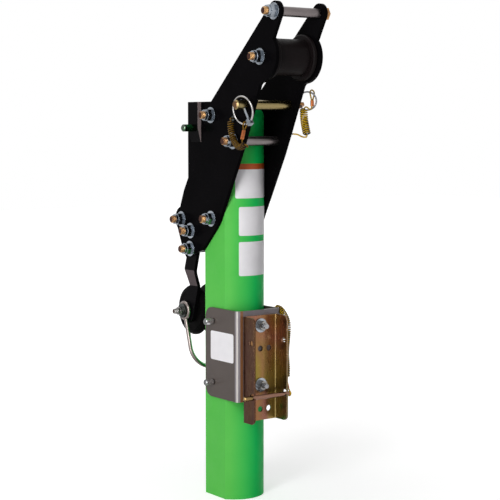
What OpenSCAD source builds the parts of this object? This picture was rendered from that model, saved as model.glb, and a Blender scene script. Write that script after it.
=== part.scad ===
// Short davit crane mast: a flat-sided mast tube with a two-plate head, a head roller,
// a rear roller with its wire bail, a locking pin, and a clamp bracket with a winch channel.
// Units are millimetres. The origin is the middle of the mast's foot, +Z is up and -Y is forward.
// Points of a side view are written as [forward, up].

/* [Mast] */
// Outside diameter of the mast tube
mast_d = 101.6; // [98:0.1:106]
// Distance across the two flats of the mast
mast_flats = 82.6; // [78:0.1:86]
// Wall of the mast tube
mast_wall = 6.4; // [4:0.1:8]
// Height of the mast tube
mast_h = 674; // [620:1:760]
// Rounding of the mast's upper edge
mast_edge_r = 18; // [8:1:22]

/* [Head plates] */
// Thickness of a side plate
plate_t = 6.35; // [4:0.05:9]
// Width of the rear tab
tab_w = 31; // [24:1:36]
// Height of the rear tab
tab_h = 69; // [50:1:90]
// Diameter of the tab's stud
stud_d = 12.4; // [8:0.1:14]
// Length that the tab's stud stands out
stud_l = 24.4; // [15:0.1:40]

/* [Plate fasteners] */
// Diameter of the plate bolts
bolt_d = 12.7; // [10:0.1:14]
// Width across the flats of a plate bolt's head and nut
bolt_af = 19; // [17:0.5:22]
// Outside diameter of the plate washers
washer_d = 27; // [24:0.5:30]
// Thickness of the plate washers
washer_t = 2.5; // [1.5:0.1:3.5]
// Height of a locking nut
nut_h = 14.5; // [11:0.5:17]
// Outside diameter of the spacer tubes
spacer_d = 16; // [15.5:0.5:20]

/* [Head roller] */
// Diameter of the head roller between its flanges
roller_d = 60; // [50:1:66]
// Diameter of the head roller's flanges
roller_flange_d = 76; // [70:1:80]
// Thickness of a head roller flange
roller_flange_t = 8; // [5:0.5:12]
// Diameter of the head roller's axle sleeve
sleeve_d = 19; // [17.5:0.5:22]
// Outside diameter of the roller bushes
bush_d = 26; // [24:0.5:32]

/* [Rear roller] */
// Diameter over the rims of the rear roller
rear_roller_d = 89; // [80:1:92]
// Width of the rear roller
rear_roller_w = 52; // [46:1:54]
// Distance between the two rims of the rear roller
rear_groove_w = 31; // [24:1:34]
// Diameter of the rear roller's groove floor
rear_groove_d = 52; // [46:1:62]
// Diameter of the rear axle bolt
rear_axle_d = 9.5; // [8:0.1:11]
// Thickness of a rear arm
arm_t = 6.35; // [4:0.05:7]

/* [Wire bail] */
// Diameter of the bail's wire
bail_wire_d = 7.8; // [5:0.1:8.5]
// Diameter of the collar in the bail's eye
bail_collar_d = 18; // [16:0.1:22]
// Diameter of the washers beside the bail's eyes
bail_washer_d = 25.4; // [24:0.1:30]
// Lean of the bail towards the mast at rest, in degrees
bail_lean = 16; // [0:1:20]
// Length of the bail's straight legs
bail_leg = 66; // [56:1:74]

/* [Locking pin] */
// Diameter of the locking pin
lock_pin_d = 15.9; // [12:0.1:18]
// Length of the locking pin
lock_pin_l = 141; // [136:1:150]
// Diameter of the linch pin's shank
linch_d = 5; // [4:0.1:6]
// Mean radius of the linch pin's ring
linch_ring_r = 23; // [22.6:0.1:25]
// Diameter of the linch ring's wire
linch_wire_d = 3.2; // [2.5:0.1:3.4]
// Tilt of the linch ring away from the plate, in degrees
linch_tilt = 12; // [8:1:20]
// Mean radius of the pull ring
pull_ring_r = 15.2; // [13:0.1:18]
// Diameter of the pull ring's wire
pull_wire_d = 2.8; // [2:0.1:3.4]

/* [Clamp bracket] */
// Thickness of the clamp bracket
bracket_t = 4.2; // [3:0.1:6]
// Height of the clamp bracket
bracket_h = 155; // [150:1:170]
// Height of the clamp bracket's lower edge above the foot
bracket_z = 175; // [150:1:240]
// Distance from the mast's axis to the bracket's front face
bracket_front = 72.6; // [70:0.1:80]
// Diameter of the bracket bolts
bracket_bolt_d = 8; // [7:0.1:9]
// Diameter of the bracket bolts' round cap nuts
bracket_cap_d = 11.1; // [10.5:0.1:14]
// Length of the bracket bolts' round cap nuts
bracket_cap_l = 17.4; // [14:0.1:22]

/* [Winch channel] */
// Width of the winch channel
channel_w = 71.2; // [66:0.1:80]
// Thickness of the winch channel
channel_t = 3; // [2:0.1:4]
// Depth of the winch channel's flanges
channel_depth = 34; // [30:0.5:40]
// Height of the winch channel
channel_h = 180; // [178:1:190]
// Diameter of the winch channel's mounting holes
channel_hole_d = 10; // [8:0.1:12]
// Diameter of the winch pin
winch_pin_d = 7.9; // [6:0.1:9]
// Diameter of the winch pin's holes
winch_pin_hole_d = 12.5; // [11:0.1:14]

/* [Lanyards] */
// Diameter of the lanyards' cord
cord_d = 1.8; // [1.5:0.1:2]
// Mean radius of the lanyards' curls
curl_r = 5; // [4:0.1:5.2]

/* [Hidden] */

// Facets of round parts, and of faceted hull children
fn_round = 96;
fn_small = 48;
// Clearances: in fixed joints, in running fits, and between a moving face and its neighbour
fixed_gap = 0.3;
run_gap = 0.05;
side_gap = 0.8;

mast_r = mast_d / 2;
plate_in = mast_flats / 2;
plate_out = plate_in + plate_t;
fastener_out = plate_out + washer_t;
bolt_hole_d = bolt_d + 2 * fixed_gap;
bolt_head_h = 8;
bolt_tip = 6.5;
bolt_bevel = 1.5;

// The head's points are counted from the mast's upper end, and lie [forward, up] of it
head_z = mast_h;
top_tie = [177.5, head_z + 148];
roller_axis = [140, head_z + 78];
mast_bolt_up = [0, head_z - 15];
mast_bolt_low = [0, head_z - 191];
lower_tie = [65, head_z - 58.5];
rear_guides = [[-92, head_z - 196], [-63.5, head_z - 215], [-65, head_z - 246.5]];
lock_axis = [99.5, head_z + 1];
rear_axis = [-100, head_z - 360];
plate_bolt_points = [top_tie, mast_bolt_up, mast_bolt_low, lower_tie, rear_guides[0], rear_guides[1],
    rear_guides[2]];
plate_stack_points = concat(plate_bolt_points, [roller_axis]);

// The tab's stud has a thinner neck that goes through the tab
stud_at = [-43, head_z - 36.7];
stud_neck_l = 0.5;
stud_neck_d = stud_d - 1.5;

// Radii of the plate's round ends
top_lobe_r = 16.5;
roller_lobe_r = 42;
rear_lobe_r = 22;
neck_fillet_r = 10;

// Places that follow the rear axle
arm_in = rear_roller_w / 2 + 1.2;
arm_out = arm_in + arm_t;
rear_bush_l = 15;
bail_x = arm_out + fixed_gap + bail_wire_d / 2;
bail_eye_r = (bail_collar_d + bail_wire_d) / 2 + fixed_gap;
collar_l = bail_wire_d + 2 * fixed_gap;
rear_washer_in = arm_out + collar_l;

// Places of the linch pin: its shank crosses the locking pin outside the left plate
linch_x = -(plate_out + 5.4);
linch_dir = [0.555, -0.832];
linch_head_at = lock_axis + 33.5 * linch_dir;
linch_shank_l = 43;
pin_end_x = lock_pin_l / 2;

// The pull ring stands in a tongue at the locking pin's far end, leaning out over it
tongue_l = 12;
tongue_t = 5;
tongue_lean = -25.7;
pull_hole_x = pin_end_x - 6.5;
pull_hole_d = 1.2 * pull_wire_d + 3.9;
pull_out = [0.809, -0.588, 0];
pull_lift = 30;
pull_centre = [pull_hole_x, -lock_axis[0], lock_axis[1]]
    + pull_ring_r * (cos(pull_lift) * pull_out + [0, 0, sin(pull_lift)]);

// Places of the clamp bracket and of the winch channel
bracket_in = plate_in;
bracket_out = bracket_in + bracket_t;
bracket_rear = -22.8;
bracket_corner_r = 17;
bracket_bend_r = 7;
bracket_bolt_z = [bracket_z + 26, bracket_z + 131.5];
bracket_washer_t = 2;
bracket_cap_end = 3;
channel_z = bracket_z + 146 - channel_h;
channel_front = bracket_front + channel_depth;
channel_bend_r = 5.5;
channel_corner_r = 9;
channel_bolt_z = [bracket_z + 27, bracket_z + 129];
channel_hole_x = 18;
channel_hole_z = [bracket_z - 15, bracket_z + 89];
flange_hole_d = 9.5;
flange_hole_at = [bracket_front + 25, bracket_z + 103.5];
winch_pin_at = [bracket_front + 28, bracket_z + 11.5];
winch_pin_lift = (winch_pin_hole_d - winch_pin_d) / 2 - fixed_gap;
winch_pin_left = -(channel_w / 2 + 17);
winch_pin_right = channel_w / 2 + 10.4;
winch_groove_x = winch_pin_right - 3.5;
winch_groove_r = winch_pin_d / 2 - 0.8;
channel_washer_t = 2.5;
channel_washer_d = 24;
channel_nut_h = 8;
channel_tip = 8.5;

// Labels are bare plates, laid on the tube by angle from straight ahead and by height
label_t = 0.4;
label_lift = 0.1;
label_left_angle = -27;
band_left_angle = -34;
label_clear = 2;
label_right_angle = asin((plate_in - label_clear) / (mast_r + label_lift + label_t));
label_bracket_w = 67.3;
band_z = [head_z - 155.5, head_z - 97];
label_upper_z = [head_z - 219, head_z - 170];
label_lower_z = [head_z - 287.5, head_z - 229.5];

// Cord routes, points chosen by hand: [x, y, z] from the mast's upper end, or from the bracket's top
cord_sides = 6;
curl_steps = 8;
ramp_steps = 5;
strand_half = cord_d / 2 + 0.35;
crimp_wall = 1.2;
crimp_room = 0.12;
eye_steps = 10;

// A plate of a side view's outline, from x0 to x0 + t
module slab(x0, t) {
    translate([x0 + t, 0, 0])
        rotate([90, 0, -90])
            linear_extrude(t)
                children();
}

// A round bar along X at a point of the side view
module bar(x0, x1, at, d) {
    translate([x0, -at[0], at[1]])
        rotate([0, 90, 0])
            cylinder(h = x1 - x0, d = d, $fn = fn_round);
}

// A round bar along X with a bevel on its left end
module bevelled_bar(x_tip, x1, at, d, bevel) {
    translate([0, -at[0], at[1]])
        rotate([0, 90, 0])
            rotate_extrude($fn = fn_round)
                polygon([[0, x_tip], [d / 2 - bevel, x_tip], [d / 2, x_tip + bevel], [d / 2, x1], [0, x1]]);
}

// A tube along X at a point of the side view
module pipe(x0, x1, at, d, bore) {
    difference() {
        bar(x0, x1, at, d);
        bar(x0 - 1, x1 + 1, at, bore);
    }
}

// A hexagon along X at a point of the side view, af wide across its flats
module hex_bar(x0, x1, at, af) {
    translate([x0, -at[0], at[1]])
        rotate([0, 90, 0])
            rotate([0, 0, 30])
                cylinder(h = x1 - x0, d = af / cos(30), $fn = 6);
}

// A locking nut on the left side: a hexagon, and the round collar that grips the thread
module lock_nut(x_seat, at, af, h, bore) {
    collar_h = h * 0.32;
    difference() {
        union() {
            hex_bar(x_seat - h + collar_h, x_seat, at, af);
            bar(x_seat - h, x_seat - h + collar_h, at, af * 0.92);
        }
        bar(x_seat - h - 1, x_seat + 1, at, bore);
    }
}

// A bolt along X: head on the right, bevelled tip on the left
module long_bolt(x_tip, x_seat, at, d, af, head_h, bevel) {
    hex_bar(x_seat, x_seat + head_h, at, af);
    bevelled_bar(x_tip, x_seat + head_h / 2, at, d, bevel);
}

module mast_section(inset) {
    intersection() {
        circle(d = mast_d - 2 * inset, $fn = fn_round);
        square([mast_flats - 2 * inset, mast_d], center = true);
    }
}

// Everything under the mast's rounded upper edge
module mast_dome() {
    rotate_extrude($fn = fn_round) {
        difference() {
            square([mast_r, mast_h]);
            translate([mast_r - mast_edge_r, mast_h - mast_edge_r])
                square(mast_edge_r + 1);
        }
        intersection() {
            translate([mast_r - mast_edge_r, mast_h - mast_edge_r])
                circle(r = mast_edge_r, $fn = fn_round);
            square([mast_r + 1, mast_h + 1]);
        }
    }
}

module mast_holes() {
    for (at = [mast_bolt_up, mast_bolt_low])
        bar(-mast_r, mast_r, at, bolt_hole_d);
    for (z = bracket_bolt_z)
        bar(-mast_r, mast_r, [0, z], bracket_bolt_d + 2 * fixed_gap);
}

module mast_tube() {
    color("limegreen")
        difference() {
            intersection() {
                linear_extrude(mast_h)
                    mast_section(0);
                mast_dome();
            }
            translate([0, 0, -1])
                linear_extrude(mast_h + 2)
                    mast_section(mast_wall);
            mast_holes();
        }
}

module mast_top_plug() {
    plug_l = 45;
    color("black")
        difference() {
            intersection() {
                translate([0, 0, mast_h - plug_l])
                    linear_extrude(plug_l)
                        mast_section(mast_wall + 0.15);
                mast_dome();
            }
            bar(-mast_r, mast_r, mast_bolt_up, bolt_hole_d);
        }
}

// The fillet under the head: a circle that touches the front edge and the roller lobe
neck_from = [103.8, head_z - 39];
neck_dir = [0.4185, 0.9082];
neck_side = [neck_dir[1], -neck_dir[0]];
neck_w = neck_from + neck_fillet_r * neck_side - roller_axis;
neck_reach = roller_lobe_r + neck_fillet_r;
neck_s = -(neck_w * neck_dir) - sqrt(pow(neck_w * neck_dir, 2) - neck_w * neck_w + pow(neck_reach, 2));
neck_start = neck_from + neck_s * neck_dir;
neck_centre = neck_start + neck_fillet_r * neck_side;
neck_end = roller_axis + roller_lobe_r * (neck_centre - roller_axis) / neck_reach;

// The side plate's outline, seen from the side
module plate_outline() {
    difference() {
        union() {
            polygon([
                top_tie + top_lobe_r * [-0.672, 0.741],
                [-1.5, head_z + 8],
                [-72.5, head_z + 8],
                [-72.5, head_z - 123],
                [-86, head_z - 145],
                [-99, head_z - 175.5],
                rear_guides[0] + rear_lobe_r * [-0.8, 0.6],
                rear_guides[0] + rear_lobe_r * [-0.7, -0.714],
                [-95, head_z - 239],
                [-80.5, head_z - 262.5],
                [-29, head_z - 247.5],
                [10.5, head_z - 208.5],
                [21.3, head_z - 196],
                [83.3, head_z - 82],
                neck_from,
                neck_start,
                neck_centre,
                neck_end,
                roller_axis,
                [173, head_z + 106],
                top_tie + top_lobe_r * [0.888, -0.46]
            ]);
            translate(top_tie)
                circle(r = top_lobe_r, $fn = fn_round);
            translate(roller_axis)
                circle(r = roller_lobe_r, $fn = fn_round);
            translate(rear_guides[0])
                circle(r = rear_lobe_r, $fn = fn_round);
        }
        translate(neck_centre)
            circle(r = neck_fillet_r, $fn = fn_round);
        for (at = plate_stack_points)
            translate(at)
                circle(d = bolt_hole_d, $fn = fn_round);
        translate(lock_axis)
            circle(d = lock_pin_d + 2 * run_gap, $fn = fn_round);
    }
}

module side_plate_left() {
    color("black")
        slab(-plate_out, plate_t)
            plate_outline();
}

module side_plate_right() {
    color("black")
        slab(plate_in, plate_t)
            plate_outline();
}

// A flat bar on the outside of the left plate, wedged down to the plate at its lower end
module rear_tab() {
    tab_front = -31.6;
    top = head_z + 8;
    wedge = 25;
    color("black")
        difference() {
            translate([-plate_out - plate_t, -tab_front, top - tab_h])
                cube([plate_t, tab_w, tab_h]);
            translate([-plate_out, -tab_front - 1, top - tab_h])
                rotate([0, -atan(plate_t / wedge), 0])
                    translate([-3 * plate_t, 0, -wedge])
                        cube([3 * plate_t, tab_w + 2, 3 * wedge]);
            bar(-plate_out - plate_t - 1, -plate_out + 1, stud_at, stud_neck_d + 2 * fixed_gap);
        }
}

module tab_stud() {
    tip_x = -plate_out - plate_t - stud_l;
    color("dimgray") {
        bevelled_bar(tip_x, -plate_out - plate_t - stud_neck_l, stud_at, stud_d, bolt_bevel);
        bar(-plate_out - plate_t - stud_neck_l - 1, -plate_out, stud_at, stud_neck_d);
    }
}

module plate_bolts() {
    color("goldenrod")
        for (at = plate_bolt_points)
            long_bolt(-fastener_out - nut_h - bolt_tip, fastener_out, at, bolt_d, bolt_af, bolt_head_h, bolt_bevel);
}

module plate_washers() {
    color("lightsteelblue")
        for (at = plate_stack_points)
            for (x0 = [-fastener_out, plate_out])
                pipe(x0, x0 + washer_t, at, washer_d, bolt_hole_d);
}

module plate_nuts() {
    color("silver")
        for (at = plate_stack_points)
            lock_nut(-fastener_out, at, bolt_af, nut_h, bolt_hole_d);
}

module top_tie_spacer() {
    color("gray")
        pipe(-plate_in, plate_in, top_tie, spacer_d, bolt_hole_d);
}

module lower_tie_spacer() {
    color("gray")
        pipe(-plate_in, plate_in, lower_tie, spacer_d, bolt_hole_d);
}

// The guide bolts' spacers; the two lower ones stand between the rear arms
module rear_guide_spacers() {
    arm_face = plate_in - arm_t;
    color("dimgray") {
        pipe(-plate_in, plate_in, rear_guides[0], spacer_d, bolt_hole_d);
        for (at = [rear_guides[1], rear_guides[2]])
            pipe(-arm_face, arm_face, at, spacer_d, bolt_hole_d);
    }
}

module roller_axle_bolt() {
    color("goldenrod")
        long_bolt(-fastener_out - nut_h - bolt_tip, fastener_out, roller_axis, bolt_d, bolt_af, bolt_head_h,
            bolt_bevel);
}

module roller_axle_sleeve() {
    color("silver")
        pipe(-plate_in, plate_in, roller_axis, sleeve_d, bolt_hole_d);
}

// Half of the head roller's width, with room to the plates
roller_half = plate_in - side_gap;
bush_l = 22;

module head_roller() {
    wide = 2 * roller_half;
    rim_r = roller_flange_d / 2;
    edge = 1.5;
    color("black")
        translate([-roller_half, -roller_axis[0], roller_axis[1]])
            rotate([0, 90, 0])
                rotate_extrude($fn = fn_round)
                    polygon([
                        [bush_d / 2, 0],
                        [rim_r - edge, 0],
                        [rim_r, edge],
                        [rim_r, roller_flange_t - edge],
                        [rim_r - edge, roller_flange_t],
                        [roller_d / 2, roller_flange_t],
                        [roller_d / 2, wide - roller_flange_t],
                        [rim_r - edge, wide - roller_flange_t],
                        [rim_r, wide - roller_flange_t + edge],
                        [rim_r, wide - edge],
                        [rim_r - edge, wide],
                        [bush_d / 2, wide]
                    ]);
}

module roller_bush(x0) {
    color("whitesmoke")
        pipe(x0, x0 + bush_l, roller_axis, bush_d - 0.1, sleeve_d + 2 * run_gap);
}

module roller_bush_left() {
    roller_bush(-roller_half);
}

module roller_bush_right() {
    roller_bush(roller_half - bush_l);
}

// The rear arm seen from the side
module arm_outline() {
    difference() {
        union() {
            polygon([
                rear_guides[1] + [-14, 0],
                [-89, head_z - 265],
                [-95, head_z - 284],
                [-89.5, head_z - 314],
                rear_axis + [-20, 10],
                rear_axis,
                rear_axis + [21, -6],
                [-65.5, head_z - 319],
                [-66, head_z - 292],
                [-55, head_z - 254],
                rear_guides[1] + [14, 0]
            ]);
            translate(rear_guides[1])
                circle(r = 14, $fn = fn_round);
            translate(rear_axis)
                circle(r = 22, $fn = fn_round);
        }
        for (at = [rear_guides[1], rear_guides[2]])
            translate(at)
                circle(d = bolt_hole_d, $fn = fn_round);
        translate(rear_axis)
            circle(d = rear_axle_d + 2 * fixed_gap, $fn = fn_round);
    }
}

// The left rear arm: flat against the plate above, and stepped in to the roller below
module rear_arm_left() {
    step_top = head_z - 286;
    step_low = head_z - 314;
    top = head_z - 190;
    low = head_z - 400;
    color("black")
        intersection() {
            slab(-plate_out, plate_out)
                arm_outline();
            translate([0, mast_r * 3, 0])
                rotate([90, 0, 0])
                    linear_extrude(mast_r * 3)
                        polygon([
                            [-plate_in, top],
                            [-plate_in + arm_t, top],
                            [-plate_in + arm_t, step_top],
                            [-arm_in, step_low],
                            [-arm_in, low],
                            [-arm_out, low],
                            [-arm_out, step_low],
                            [-plate_in, step_top]
                        ]);
        }
}

module rear_arm_right() {
    mirror([1, 0, 0])
        rear_arm_left();
}

rear_nut_h = 9;
rear_af = 14.3;
rear_washer_t = 2.4;
rear_tip = 8;
rear_seat = rear_washer_in + rear_washer_t;

module rear_axle_bolt() {
    color("silver")
        long_bolt(-rear_seat - rear_nut_h - rear_tip, rear_seat, rear_axis, rear_axle_d, rear_af, 6, 1.2);
}

module rear_axle_sleeve() {
    color("silver")
        pipe(-arm_in, arm_in, rear_axis, sleeve_d, rear_axle_d + 2 * fixed_gap);
}

module rear_axle_collars() {
    color("silver")
        for (x0 = [-rear_washer_in, arm_out])
            pipe(x0, x0 + collar_l, rear_axis, bail_collar_d, rear_axle_d + 2 * fixed_gap);
}

module rear_axle_washers() {
    color("lightsteelblue")
        for (x0 = [-rear_seat, rear_washer_in])
            pipe(x0, x0 + rear_washer_t, rear_axis, bail_washer_d, rear_axle_d + 2 * fixed_gap);
}

module rear_axle_nut() {
    color("silver")
        lock_nut(-rear_seat, rear_axis, rear_af, rear_nut_h, rear_axle_d + 2 * fixed_gap);
}

module rear_roller() {
    half = rear_roller_w / 2;
    rim = rear_groove_w / 2;
    rim_t = 3;
    shoulder_r = rear_roller_d / 2 - 8.5;
    color("black")
        translate([0, -rear_axis[0], rear_axis[1]])
            rotate([0, 90, 0])
                rotate_extrude($fn = fn_round)
                    polygon([
                        [bush_d / 2, -half],
                        [shoulder_r, -half],
                        [shoulder_r + 6, -half + 3],
                        [rear_roller_d / 2, -rim - rim_t],
                        [rear_roller_d / 2, -rim],
                        [rear_groove_d / 2, -rim + 6],
                        [rear_groove_d / 2, rim - 6],
                        [rear_roller_d / 2, rim],
                        [rear_roller_d / 2, rim + rim_t],
                        [shoulder_r + 6, half - 3],
                        [shoulder_r, half],
                        [bush_d / 2, half]
                    ]);
}

module rear_roller_bushes() {
    half = rear_roller_w / 2;
    color("whitesmoke")
        for (x0 = [-half, half - rear_bush_l])
            pipe(x0, x0 + rear_bush_l, rear_axis, bush_d - 0.1, sleeve_d + 2 * run_gap);
}

// A round wire ring about Z
module wire_ring(r, d) {
    rotate_extrude($fn = fn_round)
        translate([r, 0])
            circle(d = d, $fn = fn_small);
}

// The bail: an eye round each collar, a leg from each eye, and a half round that joins them
module wire_bail() {
    color("silver")
        translate([0, -rear_axis[0], rear_axis[1]])
            rotate([-bail_lean, 0, 0]) {
                for (side = [-1, 1])
                    translate([side * bail_x, 0, 0]) {
                        rotate([0, 90, 0])
                            wire_ring(bail_eye_r, bail_wire_d);
                        translate([0, 0, -bail_leg])
                            cylinder(h = bail_leg - bail_eye_r, d = bail_wire_d, $fn = fn_small);
                    }
                translate([0, 0, -bail_leg])
                    rotate([90, 0, 0])
                        rotate([0, 0, 180])
                            rotate_extrude(angle = 180, $fn = fn_round)
                                translate([bail_x, 0])
                                    circle(d = bail_wire_d, $fn = fn_small);
            }
}

module lock_pin() {
    bevel = 2.5;
    color("darkkhaki")
        difference() {
            union() {
                bar(-pin_end_x + bevel, pin_end_x - bevel, lock_axis, lock_pin_d);
                for (side = [0, 1])
                    mirror([side, 0, 0])
                        translate([pin_end_x - bevel, -lock_axis[0], lock_axis[1]])
                            rotate([0, 90, 0])
                                cylinder(h = bevel, d1 = lock_pin_d, d2 = lock_pin_d - 2 * bevel, $fn = fn_round);
            }
            linch_frame()
                translate([0, 0, -lock_pin_d])
                    cylinder(h = 2 * lock_pin_d, d = linch_d + 2 * fixed_gap, $fn = fn_small);
            translate([pull_hole_x, -lock_axis[0], lock_axis[1]])
                rotate([tongue_lean, 0, 0]) {
                    translate([0, 0, -lock_pin_d])
                        cylinder(h = 2 * lock_pin_d, d = pull_hole_d, $fn = fn_small);
                    for (side = [0, 1])
                        mirror([0, 0, side])
                            translate([pin_end_x - tongue_l - pull_hole_x, -lock_pin_d, tongue_t / 2])
                                cube([tongue_l + 1, 2 * lock_pin_d, lock_pin_d]);
                }
        }
}

// The linch pin's own frame: its origin on the locking pin's axis, +Z along the shank to its tip
module linch_frame() {
    translate([linch_x, -lock_axis[0], lock_axis[1]])
        rotate([-atan(-linch_dir[0] / linch_dir[1]), 0, 0])
            children();
}

// Distance from the locking pin's axis down to the middle of the linch pin's head
linch_head_l = 33.5;

module linch_pin() {
    head_w = 8;
    head_h = 11;
    head_wall = 1.6;
    ring_hole_d = linch_wire_d + 1.1;
    color("silver")
        linch_frame() {
            translate([0, 0, head_h / 2 - linch_head_l])
                cylinder(h = linch_shank_l - 1.5 - head_h / 2, d = linch_d, $fn = fn_small);
            translate([0, 0, linch_shank_l - linch_head_l - 1.5])
                cylinder(h = 1.5, d1 = linch_d, d2 = linch_d - 2, $fn = fn_small);
            difference() {
                translate([-ring_hole_d / 2 - head_wall, -head_w / 2, -linch_head_l - head_h / 2])
                    cube([ring_hole_d + 2 * head_wall, head_w, head_h]);
                translate([0, -head_w, -linch_head_l])
                    rotate([-90, 0, 0])
                        cylinder(h = 2 * head_w, d = ring_hole_d, $fn = fn_small);
            }
        }
}

// The linch ring, hinged through the head and closed over the locking pin's end
module linch_ring() {
    color("silver")
        linch_frame()
            translate([0, 0, -linch_head_l])
                rotate([0, -linch_tilt, 0])
                    translate([0, 0, linch_ring_r])
                        rotate([0, 90, 0])
                            wire_ring(linch_ring_r, linch_wire_d);
}

module pull_ring() {
    color("gray")
        translate(pull_centre)
            rotate([0, 0, atan2(pull_out[1], pull_out[0])])
                rotate([90, 0, 0])
                    wire_ring(pull_ring_r, pull_wire_d);
}

// A point of the curve through p0..p3, between p1 and p2
function curve_point(p0, p1, p2, p3, t) =
    0.5 * ((2 * p1) + (p2 - p0) * t + (2 * p0 - 5 * p1 + 4 * p2 - p3) * t * t
        + (3 * p1 - p0 - 3 * p2 + p3) * t * t * t);
function route_point(route, s) =
    let (last = len(route) - 1, i = min(floor(s), last - 1), t = s - i)
    curve_point(route[max(i - 1, 0)], route[i], route[i + 1], route[min(i + 2, last)], t);
function unit(v) = v / norm(v);

// A loose stretch of cord through hand-set points
function smooth(route, steps) =
    [for (k = [0 : steps * (len(route) - 1)]) route_point(route, k / steps)];

// A curly stretch about a route: the curls grow from the route and shrink back to it
function curl_point(route, curls, r, k) =
    let (total = curls * curl_steps, s = k / total * (len(route) - 1),
        here = route_point(route, s),
        along = unit(route_point(route, min(s + 0.01, len(route) - 1)) - route_point(route, max(s - 0.01, 0))),
        side = unit(cross(along, [1, 0, 0])),
        up = cross(side, along),
        grow = min(1, k / ramp_steps, (total - k) / ramp_steps),
        a = 360 * k / curl_steps)
    here + grow * r * (cos(a) * up + sin(a) * side);
function curly(route, curls, r) =
    [for (k = [0 : curls * curl_steps]) curl_point(route, curls, r, k)];

// An eye in a cord's end: up through the crimp, round a wire, and back down beside itself
// from: the crimp's lower end; u: towards the eye; w: across the strands; h: up to the eye's middle
function eye(from, u, w, l, h, r) =
    let (reach = norm([strand_half, h - l]),
        leg = atan2(h - l, -strand_half) - asin(r / reach),
        first = 270 - leg, last = leg - 90)
    concat(
        [for (y = [0, l / 2, l]) from - strand_half * w + y * u],
        [for (k = [0 : eye_steps]) let (a = first + (last - first) * k / eye_steps)
            from + r * cos(a) * w + (h + r * sin(a)) * u],
        [for (y = [l, l / 2, 0]) from + strand_half * w + y * u]);

// Unit tangents of a path, and a frame carried along it without twist
function tangent(p, i) = unit(p[min(i + 1, len(p) - 1)] - p[max(i - 1, 0)]);
function carry(n, t) = unit(n - (n * t) * t);
function frames(p, i, n, out) =
    i == len(p) ? out
    : let (t = tangent(p, i), m = carry(n, t)) frames(p, i + 1, m, concat(out, [[m, cross(t, m)]]));

// One unbroken tube along a path
module cord_tube(path, d) {
    t0 = tangent(path, 0);
    seed = abs(t0[2]) < 0.9 ? [0, 0, 1] : [1, 0, 0];
    fr = frames(path, 0, seed, []);
    n = len(path);
    points = [for (i = [0 : n - 1]) for (k = [0 : cord_sides - 1])
        let (a = 360 * k / cord_sides) path[i] + d / 2 * (cos(a) * fr[i][0] + sin(a) * fr[i][1])];
    sides = [for (i = [0 : n - 2]) for (k = [0 : cord_sides - 1])
        let (a = i * cord_sides + k, b = i * cord_sides + (k + 1) % cord_sides)
        each [[a, b, b + cord_sides], [a, b + cord_sides, a + cord_sides]]];
    ends = [for (k = [1 : cord_sides - 2])
        each [[0, k + 1, k], [(n - 1) * cord_sides, (n - 1) * cord_sides + k, (n - 1) * cord_sides + k + 1]]];
    polyhedron(points = points, faces = [for (f = concat(sides, ends)) [f[0], f[2], f[1]]]);
}

// Least gap of a path to itself, over all pairs of rings that aren't close neighbours
function least_gap(p, d) =
    min([for (i = [0 : len(p) - 7]) for (j = [i + 6 : len(p) - 1]) norm(p[i] - p[j])]) - d;

// The left lanyard: an eye round the linch ring, curls outside the left plate, and a button screw
left_x = linch_x - 8.2;
left_crimp_l = 16;
left_eye_r = 4;
left_u = [0, -0.35, 0.937];
left_w = [1, 0, 0];
left_from = [linch_x - 1, -97.5, head_z - 54.9];
function left_at(f, z) = [left_x, -f, head_z + z];
left_curls = 19;
left_curl_r = 0.82 * curl_r;
left_route = [left_at(115.2, -64.1), left_at(104.7, -68.1), left_at(93.8, -65.8), left_at(85.2, -58.3),
    left_at(79.3, -48.1), left_at(75.9, -37.1), left_at(75.5, -25.9)];
left_lead = [left_from + strand_half * left_w, left_at(98.5, -60) + [7.2, 0, 0], left_at(104, -64.5) + [8, 0, 0],
    left_at(112, -67.5) + [7.4, 0, 0], left_at(118, -67) + [4, 0, 0], left_at(118.5, -64.5) + [1, 0, 0],
    left_route[0]];
left_anchor_at = [66, head_z - 21];
left_tail = [left_route[6], left_at(75, -22.3), left_at(71.5, -20.6) + [4, 0, 0], left_at(67, -20.8) + [8, 0, 0],
    [-plate_out - 2.55, -left_anchor_at[0], left_anchor_at[1]]];
left_path = concat(eye(left_from, left_u, left_w, left_crimp_l, 26, left_eye_r),
    tail_of(smooth(left_lead, 3)), tail_of(curly(left_route, left_curls, left_curl_r)), tail_of(smooth(left_tail, 3)));

// The right lanyard: an eye round the pull ring, curls beside the right plate, and a button screw
right_crimp_l = 9.5;
right_eye_r = 5.4;
right_hook = pull_centre + pull_ring_r * (cos(58) * pull_out + [0, 0, sin(58)]);
right_u = [0.099, 0.132, 0.986];
right_w = [-0.9757, -0.1818, 0.1223];
right_from = right_hook - 22 * right_u;
function right_at(x, f, z) = [x + plate_out, -f, head_z + z];
right_curls = 14;
right_route = [right_at(14.4, 113.2, -5.1), right_at(14.4, 114, -18.1), right_at(13.9, 116.7, -28.3),
    right_at(13.1, 120.8, -38), right_at(12.3, 125.1, -47.6)];
right_lead = [right_from + strand_half * right_w, right_from + strand_half * right_w - 3 * right_u,
    right_at(25, 116.5, -5.5), right_at(18.5, 115, -1.6), right_route[0]];
right_anchor_at = [84, head_z - 47];
right_tail = [right_route[4], right_at(10.5, 125.5, -51.8), right_at(8.4, 117, -51.4), right_at(5.9, 107, -47.6),
    right_at(4.7, 96, -46.9), right_at(4.4, 88, -47), right_at(3.4, 84.4, -47),
    [plate_out + 2.05, -right_anchor_at[0], right_anchor_at[1]]];
right_path = concat(eye(right_from, right_u, right_w, right_crimp_l, 22, right_eye_r),
    tail_of(smooth(right_lead, 4)), tail_of(curly(right_route, right_curls, curl_r)), tail_of(smooth(right_tail, 4)));

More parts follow.
